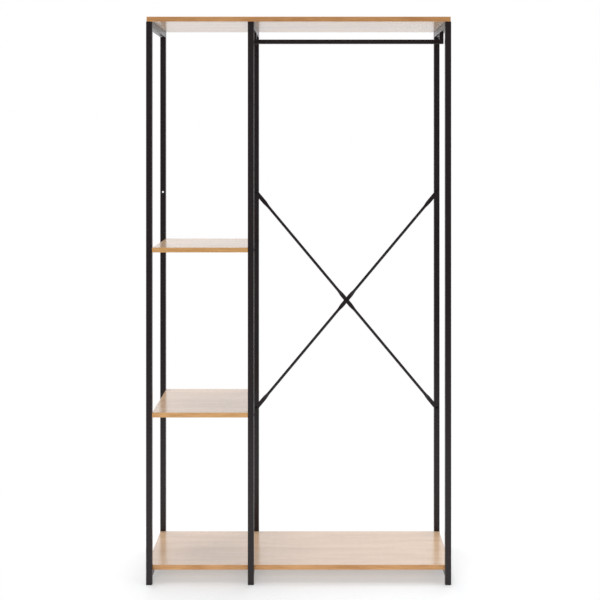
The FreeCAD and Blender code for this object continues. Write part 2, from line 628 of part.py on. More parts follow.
def make_screw():
    """Pan-head board screw with a pointed end."""
    body, turned, rim = turn_fastener("board_screw", "sizes.screw_head", "sizes.screw_head_height",
                                      "sizes.screw_shank", "sizes.screw_length",
                                      "sizes.screw_point", "sizes.screw_shank / 2")
    dress(body, "Chamfer", "head_bevel", turned, rim, "sizes.screw_head_bevel")
    return body


def make_ring(label, length, is_nut):
    """Threaded piece with a plain bore: a hexagon nut or a round insert."""
    body = new_body(label, is_node=False)
    outline = new_sketch(body, "outline", "XY_Plane")
    if is_nut:
        draw_hexagon(outline, "sizes.nut_size")
    else:
        draw_circle(outline, "0", "0", "sizes.insert_diameter - 2 * sizes.thread_clearance")
    draw_circle(outline, "0", "0", BOLT_THREAD)
    pad(body, "blank", outline, length)
    return body


def make_rail_plug():
    """Square plug with a threaded hole, welded into the top of a riser; made hanging down."""
    body = new_body("threaded_plug", is_node=False)
    outline = new_sketch(body, "outline", "XY_Plane")
    side = RAIL_BORE + " - 2 * sizes.rail_plug_clearance"
    draw_rectangle(outline, side, side)
    draw_circle(outline, "0", "0", BOLT_THREAD)
    block = pad(body, "block", outline, "sizes.rail_plug_length")

    def is_upright_corner(box):
        return box.ZLength > SAME and abs(abs(box.Center.x) - abs(box.Center.y)) < SAME

    corners = edges_where(block, is_upright_corner)
    dress(body, "Chamfer", "corners", block, corners, RAIL_BORE_CORNER)
    return body


for side_name in FRAME_X:
    for row_name in ROW_Y:
        add_post(side_name, row_name)
        add_foot(side_name, row_name)
    add_cross_tube(side_name, "upper")
    add_cross_tube(side_name, "lower")

add_frame_board("top_board", "sizes.overall_depth", "sizes.frame_height")
bottom_board_depth = "(sizes.overall_depth - 2 * (sizes.tube_size + sizes.bottom_board_gap))"
add_frame_board("bottom_board", bottom_board_depth, LOWER_TUBE_TOP)
add_shelf("upper")
add_shelf("lower")

add_rail_bar()
add_riser("left", LEFT_RISER_X, "-")
add_riser("right", RIGHT_RISER_X, "")

add_brace("rising_brace", MIDDLE_X, "sizes.brace_low", BRACE_ANGLE, "")
add_brace("falling_brace", MIDDLE_X, "sizes.brace_high", "-" + BRACE_ANGLE, "-")

shelf_bolt = make_bolt("shelf_bolt", "sizes.shelf_bolt_length")
rail_bolt = make_bolt("rail_bolt", "sizes.rail_bolt_length")
brace_bolt = make_bolt("brace_bolt", "sizes.brace_bolt_length")
board_screw = make_screw()
hexagon_nut = make_ring("hexagon_nut", "sizes.nut_height", is_nut=True)
threaded_insert = make_ring("threaded_insert", "sizes.insert_length", is_nut=False)
rail_plug = make_rail_plug()

# A shelf bolt bears on the inside of the wall that touches the shelf
shelf_levels = [top + " - sizes.board_thickness / 2" for top in SHELF_TOP.values()]
bolt_seat = "(sizes.tube_size / 2 - sizes.tube_wall)"
left_seats = []
middle_seats = []
insert_seats = []
for row_y in ROW_Y.values():
    for shelf_z in shelf_levels:
        left_seats.append(("+x", "%s + %s" % (LEFT_X, bolt_seat), row_y, shelf_z))
        middle_seats.append(("-x", "%s - %s" % (MIDDLE_X, bolt_seat), row_y, shelf_z))
        insert_seats.append(("+x", LEFT_X + " + sizes.tube_size / 2", row_y, shelf_z))
        insert_seats.append(("-x", MIDDLE_X + " - sizes.tube_size / 2", row_y, shelf_z))
group("left_shelf_bolts", shelf_bolt, left_seats)
group("middle_shelf_bolts", shelf_bolt, middle_seats)
group("shelf_inserts", threaded_insert, insert_seats)

screw_places = [(x, sign + SCREW_Y) for x in FRAME_X.values() for sign in ("-", "")]
for board_name, screw_seat in (("top", UPPER_TUBE_UNDER), ("bottom", "sizes.lower_tube_height")):
    seats = [("+z", x, y, screw_seat) for x, y in screw_places]
    group(board_name + "_board_screws", board_screw, seats)

riser_places = (LEFT_RISER_X, RIGHT_RISER_X)
rail_seat = UPPER_TUBE_UNDER + " + sizes.tube_wall"
group("rail_bolts", rail_bolt, [("-z", x, "0", rail_seat) for x in riser_places])
group("rail_plugs", rail_plug, [("-z", x, "0", UPPER_TUBE_UNDER) for x in riser_places])

# An end bolt bears on the inside of the post's front wall, and its nut on the brace in front
post_face = "(sizes.overall_depth / 2 - sizes.tube_size)"
brace_places = [(x, z) for x in (MIDDLE_X, RIGHT_X) for z in ("sizes.brace_high", "sizes.brace_low")]
end_bolt_y = post_face + " + sizes.tube_wall"
end_nut_y = "%s - %s" % (post_face, BRACE_FLAT)
group("brace_end_bolts", brace_bolt, [("-y", x, end_bolt_y, z) for x, z in brace_places])
group("brace_end_nuts", hexagon_nut, [("-y", x, end_nut_y, z) for x, z in brace_places])

# The centre bolt holds both flats of the crossing, which lie back to back
crossing_x = "(%s + %s) / 2" % (MIDDLE_X, RIGHT_X)
crossing_z = "(sizes.brace_high + sizes.brace_low) / 2"
centre_bolt_y = "%s - %s" % (BRACE_Y, BRACE_FLAT)
centre_nut_y = "%s + %s" % (BRACE_Y, BRACE_FLAT)
group("brace_centre_bolt", brace_bolt, [("+y", crossing_x, centre_bolt_y, crossing_z)])
group("brace_centre_nut", hexagon_nut, [("+y", crossing_x, centre_nut_y, crossing_z)])

doc.recompute()
for thing in doc.Objects:
    if "Invalid" in thing.State or "Error" in thing.State:
        raise RuntimeError("%s is in state %s" % (thing.Label, thing.State))
for node in nodes:
    if node.Shape.isNull() or not node.Shape.isValid():
        raise RuntimeError("%s has no valid shape" % node.Label)

os.makedirs("parts", exist_ok=True)
for node in nodes:
    node.Shape.exportStep("parts/%s.step" % node.Label)
print("%d sub-parts written" % len(nodes))
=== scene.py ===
"""Looks of the coat stand with shelves: coatings, laminate, edge bands, fasteners, weld beads, stage.

Every length is in metres. The stand's own frame holds: the floor is z = 0, the front faces -Y and
+X runs to the right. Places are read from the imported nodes, so nothing is fitted by hand.
"""
import math

import bpy
import numpy as np
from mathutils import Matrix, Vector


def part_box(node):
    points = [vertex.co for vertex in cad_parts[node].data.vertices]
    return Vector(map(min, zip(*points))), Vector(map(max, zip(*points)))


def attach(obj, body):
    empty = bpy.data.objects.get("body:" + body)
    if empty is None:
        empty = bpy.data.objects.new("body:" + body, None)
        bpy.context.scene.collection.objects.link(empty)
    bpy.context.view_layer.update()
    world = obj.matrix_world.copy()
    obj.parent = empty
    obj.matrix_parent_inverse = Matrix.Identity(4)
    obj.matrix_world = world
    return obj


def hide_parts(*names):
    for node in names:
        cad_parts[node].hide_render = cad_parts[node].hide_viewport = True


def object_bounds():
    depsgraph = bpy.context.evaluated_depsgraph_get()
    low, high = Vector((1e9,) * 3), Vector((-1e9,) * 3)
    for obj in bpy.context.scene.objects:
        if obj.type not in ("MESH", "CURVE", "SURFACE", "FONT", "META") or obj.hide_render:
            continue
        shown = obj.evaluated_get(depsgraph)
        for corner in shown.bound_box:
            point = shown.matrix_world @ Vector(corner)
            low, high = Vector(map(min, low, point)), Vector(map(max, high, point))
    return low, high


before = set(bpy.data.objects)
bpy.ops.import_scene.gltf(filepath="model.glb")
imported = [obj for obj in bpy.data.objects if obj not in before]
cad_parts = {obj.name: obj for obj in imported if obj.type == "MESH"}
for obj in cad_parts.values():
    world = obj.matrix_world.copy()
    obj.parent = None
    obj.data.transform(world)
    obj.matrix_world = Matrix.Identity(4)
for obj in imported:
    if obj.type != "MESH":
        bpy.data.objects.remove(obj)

bl_info = {
    "name": "Coat stand looks",
    "version": (1, 0, 0),
    "blender": (4, 5, 0),
    "location": "3D View > Sidebar > Coat stand",
    "description": "Finishes, fasteners, weld beads and stage of a coat stand with shelves",
    "category": "Object",
}

STAND_LOW, STAND_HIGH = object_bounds()
SIDES = ("left", "middle", "right")
ROWS = ("front", "rear")
LEVELS = ("upper", "lower")

MM = 0.001
FULL_TURN = 2 * math.pi
SHARP_ANGLE = math.radians(32)

# Points round each kind of shape, and its rings or rows
BOLT_COLUMNS = 48
SCREW_COLUMNS = 40
NUT_COLUMNS = 60
BEAD_COLUMNS = 14
RINGS_PER_PITCH = 6
FLAT_RINGS = 16
ROWS_PER_RIPPLE = 5
LEAST_ROWS = 12

# Turned shapes: the radius that stands for no limit, and the slope and flats of a thread's wave
NO_LIMIT = 1.0
THREAD_STEEPNESS = 1.5
THREAD_FLAT = 0.25

# Weld beads: shares of their length, width and height, and radians of sway for each ripple
END_GAP = 0.004
TAPER_SHARE = 0.6
RIPPLE_SHARE = 0.1
SWAY_SHARE = 0.08
SWAY_PACE = 1.7

# Painted light and shade of each board's edge band, as a factor on each part of the band's two colours
BAND_LIGHT_BY_BOARD = {
    "top_board": (0.86, 0.78, 0.71),
    "upper_shelf": (0.95, 0.95, 0.88),
    "lower_shelf": (1.04, 1.07, 1.09),
    "bottom_board": (0.96, 0.91, 0.90),
}

# Sides of the photograph in pixels and of the camera's sensor in millimetres
PHOTO_SIZE = 600
SENSOR_WIDTH = 36

# Share of a ray's heading along +Y where the dim room ends and where the backdrop is full
ROOM_HEADING = -0.2
BACKDROP_HEADING = 0.7


# Settings
def colour_setting(name, description, default):
    """Colour setting with its own picker."""
    return bpy.props.FloatVectorProperty(
        name=name, description=description, default=default, subtype="COLOR", size=3, min=0, max=1)


def length_setting(name, description, default):
    """Length setting in metres."""
    return bpy.props.FloatProperty(
        name=name, description=description, default=default, subtype="DISTANCE", unit="LENGTH",
        precision=4)


def number_setting(name, description, default):
    """Plain number setting."""
    return bpy.props.FloatProperty(name=name, description=description, default=default, precision=4)


def place_setting(name, description, default):
    """Setting of a place in metres."""
    return bpy.props.FloatVectorProperty(
        name=name, description=description, default=default, subtype="TRANSLATION", unit="LENGTH",
        size=3, precision=4)


class StandColours(bpy.types.PropertyGroup):
    """Colours of the finishes."""

    coat: colour_setting("Coat", "Powder coat of the frames", (0.0076, 0.0026, 0.0036))
    coat_thin: colour_setting("Coat, thin", "Powder coat where it lies thin", (0.0109, 0.0053, 0.0061))
    laminate_pale: colour_setting("Laminate, pale", "Early wood of the laminate", (0.79, 0.555, 0.362))
    laminate_deep: colour_setting("Laminate, deep", "Late wood of the laminate", (0.665, 0.437, 0.263))
    laminate_pore: colour_setting("Laminate, pores", "Printed pores of the laminate", (0.42, 0.26, 0.15))
    chip_pale: colour_setting("Core, pale", "Pale chips of the board's core", (0.53, 0.365, 0.19))
    chip_deep: colour_setting("Core, deep", "Dark chips of the board's core", (0.28, 0.175, 0.085))
    band_pale: colour_setting("Band, pale", "Pale streaks of the edge band", (0.66, 0.375, 0.155))
    band_deep: colour_setting("Band, deep", "Deep streaks of the edge band", (0.475, 0.235, 0.083))
    plastic: colour_setting("Feet", "Moulded foot caps", (0.011, 0.0105, 0.010))
    oxide: colour_setting("Black oxide", "Bolts and nuts", (0.035, 0.034, 0.034))
    zinc: colour_setting("Zinc", "Board screws", (0.58, 0.59, 0.60))
    insert: colour_setting("Inserts", "Yellow zinc of the threaded inserts", (0.62, 0.53, 0.33))
    floor: colour_setting("Floor", "Matt white floor", (0.87, 0.885, 0.9))


class StandDetails(bpy.types.PropertyGroup):
    """Sizes of the small details."""

    tube_wall: length_setting("Tube wall", "Wall of the square tubes", 1.2 * MM)
    bolt_head_radius: length_setting("Bolt head", "Radius of a bolt's head", 5.25 * MM)
    bolt_head_height: length_setting("Bolt head height", "Height of a bolt's head", 3.3 * MM)
    bolt_head_rounding: length_setting("Bolt dome", "Rounding of a bolt's head", 2.2 * MM)
    bolt_socket: length_setting("Bolt socket", "Axis to the flats of a bolt's socket", 2.0 * MM)
    bolt_socket_depth: length_setting("Socket depth", "Depth of a bolt's socket", 2.0 * MM)
    bolt_radius: length_setting("Bolt shank", "Radius of a bolt's shank", 3.0 * MM)
    bolt_neck: length_setting("Bolt neck", "Seat of a bolt to its thread", 0.8 * MM)
    bolt_taper: length_setting("Bolt taper", "Bevel on the end of a bolt", 0.6 * MM)
    bolt_pitch: length_setting("Bolt pitch", "Thread pitch of the bolts", 1.0 * MM)
    bolt_thread_depth: length_setting("Bolt thread", "Depth of the bolt thread", 0.5 * MM)
    shelf_bolt_length: length_setting("Shelf bolt", "Length of a shelf bolt's shank", 20 * MM)
    short_bolt_length: length_setting("Short bolt", "Length of the other bolts' shanks", 12 * MM)
    nut_reach: length_setting("Nut", "Axis to the flats of a nut", 5.0 * MM)
    nut_height: length_setting("Nut height", "Height of a nut", 5.0 * MM)
    nut_bore: length_setting("Nut bore", "Radius of the bolt in a nut", 3.0 * MM)
    nut_bevel: length_setting("Nut bevel", "Rise of the bevel on the corners of a nut", 0.7 * MM)
    screw_head_radius: length_setting("Screw head", "Radius of a screw's head", 4.0 * MM)
    screw_head_height: length_setting("Screw head height", "Height of a screw's head", 2.4 * MM)
    screw_head_rounding: length_setting("Screw dome", "Rounding of a screw's head", 1.4 * MM)
    screw_radius: length_setting("Screw shank", "Radius of a screw's shank", 2.0 * MM)
    screw_length: length_setting("Screw length", "Length of a screw below its head", 30 * MM)
    screw_neck: length_setting("Screw neck", "Plain neck of a screw in the tube", 17 * MM)
    screw_point: length_setting("Screw point", "Length of a screw's point", 5 * MM)
    screw_pitch: length_setting("Screw pitch", "Thread pitch of the board screws", 1.8 * MM)
    screw_thread_depth: length_setting("Screw thread", "Depth of the screw thread", 0.7 * MM)
    recess_depth: length_setting("Recess depth", "Depth of the cross recess of a screw", 1.5 * MM)
    recess_arm: length_setting("Recess arm", "Length of one arm of the cross recess", 2.3 * MM)
    recess_width: length_setting("Recess width", "Width of an arm of the cross recess", 1.0 * MM)
    seam_width: length_setting("Seam width", "Width of a weld seam on a flush face", 2.6 * MM)
    seam_height: length_setting("Seam height", "Height of a weld seam on a flush face", 0.35 * MM)
    fillet_size: length_setting("Fillet size", "Leg of a weld bead in a corner", 2.2 * MM)
    ripple_pitch: length_setting("Ripple pitch", "Distance between the ripples of a bead", 1.6 * MM)
    frame_bead_inset: length_setting("Frame bead inset", "Tube's edge to a frame's bead", 1.6 * MM)
    rail_bead_inset: length_setting("Rail bead inset", "Tube's edge to the rail's bead", 1.0 * MM)


class StandStage(bpy.types.PropertyGroup):
    """Camera, light and floor."""

    camera_x: length_setting("Camera X", "Camera to the right of the middle", 0.0495)
    camera_y: length_setting("Camera Y", "Camera along Y", -4.3081)
    camera_height: length_setting("Camera height", "Camera above the floor", 1.4494)
    focal_pixels: number_setting("Focal length", "Focal length in pixels of the photograph", 1251.9)
    axis_pixel_x: number_setting("Axis X", "Column of the photograph on the camera's axis", 313.7)
    axis_pixel_y: number_setting("Axis Y", "Row of the photograph on the camera's axis", 143.6)
    room_level: number_setting("Room level", "Strength of the dim room in front of the stand", 0.37)
    top_place: place_setting("Top place", "Middle of the overhead panel", (-0.9, 2.7, 16))
    top_size: length_setting("Top size", "Side of the overhead panel", 13.3)
    top_power: number_setting("Top power", "Power of the overhead panel in watts", 2050)
    front_place: place_setting("Front place", "Middle of the front panel", (-0.5, -3.8, 1.6))
    front_target: place_setting("Front target", "Place that the front panel faces", (0, 0, 0.7))
    front_size: length_setting("Front size", "Side of the front panel", 1.8)
    front_power: number_setting("Front power", "Power of the front panel in watts", 68)
    floor_half: length_setting("Floor", "Half the side of the floor", 2.6)
    floor_margin: length_setting("Floor margin", "Way in front that is still fully shaded", 0.1)
    floor_glow: number_setting("Floor glow", "Share of the floor that stays white in shadow", 0.32)
    floor_shade_reach: length_setting("Floor shade", "Way from the stand to plain white floor", 0.48)


# Meshes
def grid_quads(rows, columns, wrap_rows=False):
    """Quads between neighbouring points of a grid that wraps round in its columns."""
    row = np.arange(rows if wrap_rows else rows - 1)[:, None]
    column = np.arange(columns)[None, :]
    above = (row + 1) % rows
    beside = (column + 1) % columns
    corners = (row * columns + column, row * columns + beside,
               above * columns + beside, above * columns + column)
    return np.stack(np.broadcast_arrays(*corners), axis=-1).reshape(-1, 4)


def cap_fan(first, columns, pole, facing_back):
    """Triangles from one row of a grid to a pole point."""
    here = first + np.arange(columns)
    beside = first + (np.arange(columns) + 1) % columns
    fan = np.stack([here, beside, np.full(columns, pole)], axis=-1)
    return fan[:, ::-1] if facing_back else fan


def closed_tube(points, start_pole, end_pole):
    """Vertices, quads and triangles of a rows by columns by 3 grid of points between two poles."""
    rows, columns = points.shape[:2]
    vertices = np.vstack([points.reshape(-1, 3), start_pole, end_pole])
    start_cap = cap_fan(0, columns, rows * columns, True)
    end_cap = cap_fan((rows - 1) * columns, columns, rows * columns + 1, False)
    return vertices, grid_quads(rows, columns), np.vstack([start_cap, end_cap])


def closed_ring(points):
    """Vertices, quads and no triangles of a grid of points that wraps round both ways."""
    rows, columns = points.shape[:2]
    return points.reshape(-1, 3), grid_quads(rows, columns, wrap_rows=True), np.empty((0, 3), int)


def joined(shapes):
    """One shape out of several: the faces of each count on from the vertices of those before it."""
    vertices, quads, triangles = zip(*shapes)
    starts = np.cumsum([0] + [len(part) for part in vertices[:-1]])
    all_quads = np.vstack([part + start for part, start in zip(quads, starts)])
    all_triangles = np.vstack([part + start for part, start in zip(triangles, starts)])
    return np.vstack(vertices), all_quads, all_triangles


def add_piece(name, shapes, material, replaced=()):
    """Shown piece of the stand, made of closed surfaces, that rides with the stand."""
    vertices, quads, triangles = joined(shapes)
    mesh = bpy.data.meshes.new(name)
    mesh.from_pydata(vertices, [], quads.tolist() + triangles.tolist())
    mesh.update()
    mesh.shade_smooth()
    mesh.set_sharp_from_angle(angle=SHARP_ANGLE)
    mesh.materials.append(material)
    piece = bpy.data.objects.new(name, mesh)
    bpy.context.scene.collection.objects.link(piece)
    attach(piece, "root")
    if replaced:
        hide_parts(*replaced)


# Fasteners, turned from tables of rings
def turned_points(rings, columns, pitch=MM):
    """Points of a turned surface whose rings may be hexagons or carry a thread.

    Each row of the table is one ring: its radius, its height, its share of a hexagon, the depth of
    its thread and its largest radius. The radius at an angle is the ring's radius, times one over
    the cosine of the angle from the middle of the nearest sixth for a hexagon, less the thread's
    depth times a wave, and never more than the largest radius. The wave is a triangle wave of
    height over pitch minus angle over a full turn, stretched and clipped so that crests and roots
    are flat.
    """
    radius, height, hexagon, depth, limit = [part[:, None] for part in np.asarray(rings, float).T]
    angle = (np.arange(columns) * FULL_TURN / columns)[None, :]
    sixth = np.mod(angle, FULL_TURN / 6) - FULL_TURN / 12
    bulge = 1 + hexagon * (1 / np.cos(sixth) - 1)
    phase = np.mod(height / pitch - angle / FULL_TURN, 1)
    wave = np.clip(np.abs(2 * phase - 1) * THREAD_STEEPNESS - THREAD_FLAT, 0, 1)
    reach = np.minimum(radius * bulge - depth * wave, limit)
    tall = np.broadcast_to(height, reach.shape)
    return np.stack([reach * np.cos(angle), reach * np.sin(angle), tall], axis=-1)


def flat_ring(radius, height, hexagon=0.0, limit=NO_LIMIT):
    """One ring as a table row."""
    return np.array([[radius, height, hexagon, 0, limit]])


def thread_rings(radius, start, end, pitch, depth):
    """Rings of a thread that fades in evenly over its first pitch."""
    count = max(2, int((end - start) / pitch * RINGS_PER_PITCH))
    height = np.linspace(start, end, count)
    fade = np.clip((height - start) / pitch, 0, 1)
    columns = [np.full(count, radius), height, np.zeros(count), depth * fade,
               np.full(count, NO_LIMIT)]
    return np.stack(columns, axis=-1)


def dome_rings(radius, low, rounding, steps=7):
    """Rings of a quarter circle from a flat at the low height out to the full radius."""
    turn = np.linspace(0, math.pi / 2, steps)
    reach = radius - rounding + rounding * np.sin(turn)
    height = low + rounding * (1 - np.cos(turn))
    zero = np.zeros(steps)
    return np.stack([reach, height, zero, zero, np.full(steps, NO_LIMIT)], axis=-1)


def bolt_shape(details, length):
    """Socket bolt along +Z: a domed head below its seat at z = 0, its socket, a threaded shank.

    The surface starts on the axis at the socket's drilled floor and ends at the shank's tip.
    """
    head = details.bolt_head_radius
    low = -details.bolt_head_height
    socket = details.bolt_socket
    floor = low + details.bolt_socket_depth
    drill_step = 0.3 * MM
    drill_depth = 0.4 * MM
    edge = 0.15 * MM
    mouth = 0.2 * MM
    fillet_radius = 0.2 * MM
    fillet_height = 0.25 * MM
    shank = details.bolt_radius
    taper = details.bolt_taper
    rings = np.vstack([
        flat_ring(socket / 2, floor + drill_step),
        flat_ring(socket, floor, hexagon=1),
        flat_ring(socket, low + edge, hexagon=1),
        flat_ring(socket + mouth, low, hexagon=0.6),
        dome_rings(head, low, details.bolt_head_rounding),
        flat_ring(head, -edge),
        flat_ring(head - edge, 0),
        flat_ring(shank + fillet_radius, 0),
        flat_ring(shank, fillet_height),
        thread_rings(shank, details.bolt_neck, length - taper, details.bolt_pitch,
                     details.bolt_thread_depth),
        flat_ring(shank - taper, length),
    ])
    points = turned_points(rings, BOLT_COLUMNS, details.bolt_pitch)
    return closed_tube(points, [0, 0, floor + drill_depth], [0, 0, length])


def recess_sink(details, x, y):
    """Depth of a cross recess: the deeper of two crossed arms, each falling off to its own edge."""
    slope = 0.35 * MM

    def arm(along, across):
        """Share of the full depth in the arm along one axis."""
        ends = np.clip((details.recess_arm - np.abs(along)) / (3 * slope), 0, 1)
        sides = np.clip((details.recess_width / 2 + slope / 2 - np.abs(across)) / slope, 0, 1)
        return ends * sides

    return details.recess_depth * np.maximum(arm(x, y), arm(y, x))


def screw_shape(details):
    """Pan-head screw along +Z: a head below its seat at z = 0, a cross recess, neck, thread, point.

    The head's flat is a fine set of rings, which the recess pushes up. Along the point the radius
    and the thread shrink evenly to a small share.
    """
    head = details.screw_head_radius
    low = -details.screw_head_height
    rounding = details.screw_head_rounding
    shank = details.screw_radius
    length = details.screw_length
    pitch = details.screw_pitch
    depth = details.screw_thread_depth
    edge = 0.1 * MM
    neck_fillet = 0.3 * MM
    blunt_tip = 0.3 * MM
    tip_share = 0.12
    point_start = length - details.screw_point
    flat_radii = (head - rounding) * np.linspace(0.08, 0.96, FLAT_RINGS)
    flat = np.vstack([flat_ring(radius, low) for radius in flat_radii])
    tip = thread_rings(shank, point_start, length - blunt_tip, pitch, depth)
    share = np.linspace(1, tip_share, len(tip))
    tip[:, 0] *= share
    tip[:, 3] = depth * share
    rings = np.vstack([
        flat,
        dome_rings(head, low, rounding),
        flat_ring(head, -edge),
        flat_ring(head - edge, 0),
        flat_ring(shank + neck_fillet, 0),
        flat_ring(shank, neck_fillet),
        thread_rings(shank, details.screw_neck, point_start, pitch, depth),
        tip[1:],
    ])
    points = turned_points(rings, SCREW_COLUMNS, pitch)
    top = points[:FLAT_RINGS]
    top[..., 2] += recess_sink(details, top[..., 0], top[..., 1])
    return closed_tube(points, [0, 0, low + details.recess_depth], [0, 0, length])


def nut_shape(details):
    """Hexagon nut standing on its seat at z = 0, its corners bevelled by a cone at both ends."""
    reach = details.nut_reach
    height = details.nut_height
    bevel = details.nut_bevel
    corner = reach / math.cos(FULL_TURN / 12)
    face = reach - 0.25 * MM
    bevel_middle = (face + corner) / 2
    bore = details.nut_bore + 0.1 * MM
    mouth = details.nut_bore + 0.45 * MM
    countersink = 0.5 * MM
    rings = np.vstack([
        flat_ring(mouth, 0),
        flat_ring(face, 0),
        flat_ring(reach, bevel / 2, hexagon=1, limit=bevel_middle),
        flat_ring(reach, bevel, hexagon=1),
        flat_ring(reach, height - bevel, hexagon=1),
        flat_ring(reach, height - bevel / 2, hexagon=1, limit=bevel_middle),
        flat_ring(face, height),
        flat_ring(mouth, height),
        flat_ring(bore, height - countersink),
        flat_ring(bore, countersink),
    ])
    return closed_ring(turned_points(rings, NUT_COLUMNS))


def pointed(shape, way, seat):
    """Shape made along +Z, turned to point along one of the axes and moved to its seat."""
    vertices, quads, triangles = shape
    axis = np.asarray(way, float)
    side = np.array([1.0, 0, 0]) if way[2] else np.array([0, 0, 1.0])
    turned = vertices @ np.stack([side, np.cross(axis, side), axis])
    return turned + np.asarray(seat, float), quads, triangles


# Weld beads
def bead(start, end, out, width, height, pitch):
    """Weld bead along a straight line, half sunk in the steel.

    Across the line it is an ellipse. Along it the ellipse swells and shrinks by a tenth with each
    ripple, as the square of a sine, sways a little to the sides, as a sine, and tapers to nothing
    over its ends, as a square root.
    """
    start, end, out = (np.asarray(part, float) for part in (start, end, out))
    length = np.linalg.norm(end - start)
    along = (end - start) / length
    out = out / np.linalg.norm(out)
    side = np.cross(out, along)
    rows = max(LEAST_ROWS, int(length / pitch * ROWS_PER_RIPPLE))
    u = np.linspace(END_GAP, 1 - END_GAP, rows)
    turns = u * length / pitch
    ends = np.clip(np.minimum(u, 1 - u) * length / (width * TAPER_SHARE), 0, 1) ** 0.5
    swell = ends * (1 - RIPPLE_SHARE + RIPPLE_SHARE * np.sin(np.pi * turns) ** 2)
    sway = SWAY_SHARE * width * np.sin(SWAY_PACE * turns)
    angle = np.arange(BEAD_COLUMNS) * FULL_TURN / BEAD_COLUMNS
    across = np.cos(angle)[None, :] * width / 2 * swell[:, None] + sway[:, None]
    rise = np.sin(angle)[None, :] * height * swell[:, None]
    line = start + (u * length)[:, None] * along
    points = line[:, None, :] + across[..., None] * side + rise[..., None] * out
    return closed_tube(points, start, end)


def seam(details, start, end, out, share=1.0):
    """Weld seam on a flush face, at a share of its full size."""
    return bead(start, end, out, details.seam_width * share, details.seam_height * share,
                details.ripple_pitch)


def fillet(details, start, end, out, share=1.0):
    """Weld bead in a corner, at a share of its full size."""
    size = details.fillet_size * share
    return bead(start, end, out, size, size / 2, details.ripple_pitch)


# Materials
class Finish:
    """A material under construction: its nodes, its links and its surface shader."""

    def __init__(self, name):
        self.material = bpy.data.materials.new(name)
        self.material.use_nodes = True
        self.nodes = self.material.node_tree.nodes
        self.links = self.material.node_tree.links
        self.surface = self.nodes["Principled BSDF"]

    def add(self, kind, **settings):
        """New node with its own settings."""
        node = self.nodes.new(kind)
        for name, setting in settings.items():
            setattr(node, name, setting)
        return node

    def feed(self, socket, source):
        """Link an output to an input, or set the input to a value."""
        if isinstance(source, bpy.types.NodeSocket):
            self.links.new(source, socket)
        else:
            socket.default_value = source

    def place(self, scale, shift=(0, 0, 0)):
        """The piece's own coordinates, stretched by a scale for each axis."""
        coordinates = self.add("ShaderNodeTexCoord")
        mapping = self.add("ShaderNodeMapping")
        self.links.new(coordinates.outputs["Object"], mapping.inputs["Vector"])
        mapping.inputs["Scale"].default_value = scale
        mapping.inputs["Location"].default_value = shift
        return mapping.outputs["Vector"]

    def noise(self, vector, scale=1.0, detail=2.0, roughness=0.5):
        """Noise between 0 and 1."""
        node = self.add("ShaderNodeTexNoise")
        self.links.new(vector, node.inputs["Vector"])
        node.inputs["Scale"].default_value = scale
        node.inputs["Detail"].default_value = detail
        node.inputs["Roughness"].default_value = roughness
        return node.outputs["Fac"]

    def waves(self, vector, scale, distortion, detail_scale):
        """Soft bands across Y that wander as the rings of a flat-sawn board do."""
        node = self.add("ShaderNodeTexWave", wave_type="BANDS", bands_direction="Y")
        self.links.new(vector, node.inputs["Vector"])
        node.inputs["Scale"].default_value = scale
        node.inputs["Distortion"].default_value = distortion
        node.inputs["Detail"].default_value = 2
        node.inputs["Detail Scale"].default_value = detail_scale
        return node.outputs["Fac"]

    def chips(self, vector):
        """One value between 0 and 1 for each pressed chip."""
        node = self.add("ShaderNodeTexVoronoi")
        self.links.new(vector, node.inputs["Vector"])
        node.inputs["Scale"].default_value = 1
        parts = self.add("ShaderNodeSeparateColor")
        self.links.new(node.outputs["Color"], parts.inputs["Color"])
        return parts.outputs["Red"]

    def on_ends(self):
        """1 where the surface faces along X, 0 where it faces another way."""
        parts = self.add("ShaderNodeSeparateXYZ")
        self.links.new(self.add("ShaderNodeTexCoord").outputs["Normal"], parts.inputs["Vector"])
        node = self.add("ShaderNodeMath", operation="ABSOLUTE")
        self.links.new(parts.outputs["X"], node.inputs[0])
        return self.spread(node.outputs[0], 0.6, 0.9)

    def spread(self, value, low, high, to_low=0.0, to_high=1.0):
        """Stretch a range of values onto another one, clamped."""
        node = self.add("ShaderNodeMapRange", clamp=True)
        for name, source in (("Value", value), ("From Min", low), ("From Max", high),
                             ("To Min", to_low), ("To Max", to_high)):
            self.feed(node.inputs[name], source)
        return node.outputs["Result"]

    def sum_of(self, *weighted):
        """Sum of values, each times its weight."""
        total = None
        for value, weight in weighted:
            node = self.add("ShaderNodeMath", operation="MULTIPLY_ADD")
            self.feed(node.inputs[0], value)
            node.inputs[1].default_value = weight
            self.feed(node.inputs[2], 0.0 if total is None else total)
            total = node.outputs[0]
        return total

    def blend(self, share, first, second):
        """Colour between two colours."""
        node = self.add("ShaderNodeMix", data_type="RGBA")
        self.feed(node.inputs["Factor"], share)
        self.feed(node.inputs["A"], with_alpha(first))
        self.feed(node.inputs["B"], with_alpha(second))
        return node.outputs["Result"]

    def bump(self, height, distance, strength=1.0):
        """Relief of the surface."""
        node = self.add("ShaderNodeBump")
        self.links.new(height, node.inputs["Height"])
        node.inputs["Distance"].default_value = distance
        node.inputs["Strength"].default_value = strength
        self.links.new(node.outputs["Normal"], self.surface.inputs["Normal"])

    def set(self, **settings):
        """Values or links of the surface shader's inputs, an underscore standing for a space."""
        for name, source in settings.items():
            self.feed(self.surface.inputs[name.replace("_", " ")], source)


def with_alpha(colour):
    """A colour with its alpha, or a socket as it is."""
    if isinstance(colour, bpy.types.NodeSocket):
        return colour
    return (*colour, 1) if len(colour) == 3 else colour


